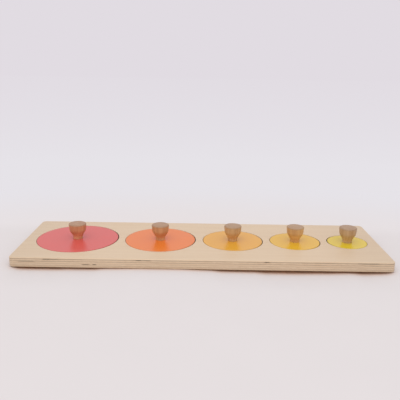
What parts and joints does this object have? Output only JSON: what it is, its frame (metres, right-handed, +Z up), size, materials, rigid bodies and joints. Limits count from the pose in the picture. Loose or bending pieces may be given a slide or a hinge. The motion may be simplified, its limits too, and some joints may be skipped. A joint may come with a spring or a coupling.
{
  "type": "wooden circle puzzle",
  "caption": "Long plywood tray with a row of graduated round recesses, each filled flush by a lacquered disc that lifts out by a small turned knob.",
  "frame": {"origin": "middle of the tray's underside, where it rests", "axes": "+X along the row of discs towards the smallest, +Y to the back edge, +Z up"},
  "size_m": [0.4, 0.125, 0.029],
  "materials": {
    "frame_plywood": "satin",
    "base_plywood": "satin",
    "red_lacquer": "gloss",
    "orange_lacquer": "gloss",
    "apricot_lacquer": "gloss",
    "golden_lacquer": "gloss",
    "yellow_lacquer": "gloss",
    "turned_beech": "satin",
    "zinc_plate": "satin"
  },
  "bodies": {
    "tray": {"frame_panel": "frame_plywood", "base_panel": "base_plywood"},
    "red_inset": {"red_disc": "red_lacquer", "red_disc_knob": "turned_beech", "red_disc_screw": "zinc_plate"},
    "orange_inset": {"orange_disc": "orange_lacquer", "orange_disc_knob": "turned_beech", "orange_disc_screw": "zinc_plate"},
    "apricot_inset": {"apricot_disc": "apricot_lacquer", "apricot_disc_knob": "turned_beech", "apricot_disc_screw": "zinc_plate"},
    "golden_inset": {"golden_disc": "golden_lacquer", "golden_disc_knob": "turned_beech", "golden_disc_screw": "zinc_plate"},
    "yellow_inset": {"yellow_disc": "yellow_lacquer", "yellow_disc_knob": "turned_beech", "yellow_disc_screw": "zinc_plate"}
  },
  "joints": [
    {"name": "red_inset_lift", "type": "slide", "parent": "tray", "child": "red_inset", "axis": [0, 0, 1], "range_m": [0, 0.06]},
    {"name": "orange_inset_lift", "type": "slide", "parent": "tray", "child": "orange_inset", "axis": [0, 0, 1], "range_m": [0, 0.06]},
    {"name": "apricot_inset_lift", "type": "slide", "parent": "tray", "child": "apricot_inset", "axis": [0, 0, 1], "range_m": [0, 0.06]},
    {"name": "golden_inset_lift", "type": "slide", "parent": "tray", "child": "golden_inset", "axis": [0, 0, 1], "range_m": [0, 0.06]},
    {"name": "yellow_inset_lift", "type": "slide", "parent": "tray", "child": "yellow_inset", "axis": [0, 0, 1], "range_m": [0, 0.06]}
  ]
}
